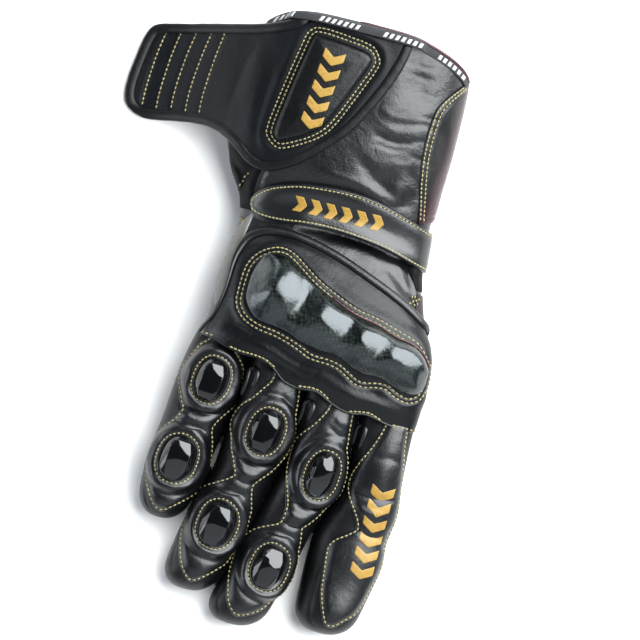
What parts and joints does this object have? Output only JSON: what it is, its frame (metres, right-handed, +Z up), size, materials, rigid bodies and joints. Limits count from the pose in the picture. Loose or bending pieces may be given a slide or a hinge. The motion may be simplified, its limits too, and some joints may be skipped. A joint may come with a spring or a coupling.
{
  "type": "leather motorcycle glove",
  "caption": "Black leather motorcycle glove with a hard knuckle guard, finger protectors and an open cuff flap, palm down.",
  "frame": {"origin": "middle of the glove's footprint, on the surface it lies on", "axes": "+Z up out of the back of the hand, +Y towards the cuff's mouth, +X towards the thumb's side"},
  "size_m": [0.187, 0.3064, 0.0586],
  "materials": {
    "shell_leather": "smooth full-grain leather, soft sheen",
    "panel_leather": "smooth black leather, stitched in cream thread",
    "strap_leather": "smooth leather, a little greyer",
    "hem_tape": "woven black tape",
    "guard_shell": "glossy dark shell with a woven look",
    "finger_guard": "glossy black"
  },
  "bodies": {
    "root": {"gauntlet_cuff": "shell_leather", "hand_shell": "shell_leather", "thumb_sleeve": "shell_leather", "knuckle_panel": "panel_leather", "knuckle_piping": "panel_leather", "knuckle_guard": "guard_shell", "wrist_strap": "strap_leather", "cuff_side_panel": "panel_leather", "cuff_hem_tape": "hem_tape", "closure_flap": "panel_leather", "flap_binding": "panel_leather", "wrist_bone_pad": "panel_leather", "little_finger": "shell_leather", "little_back_panel": "panel_leather", "ring_finger": "shell_leather", "ring_back_panel": "panel_leather", "middle_finger": "shell_leather", "middle_back_panel": "panel_leather", "index_finger": "shell_leather", "index_back_panel": "panel_leather", "little_guard_1": "finger_guard", "little_guard_2": "finger_guard", "ring_guard_1": "finger_guard", "ring_guard_2": "finger_guard", "middle_guard_1": "finger_guard", "middle_guard_2": "finger_guard"}
  },
  "joints": []
}
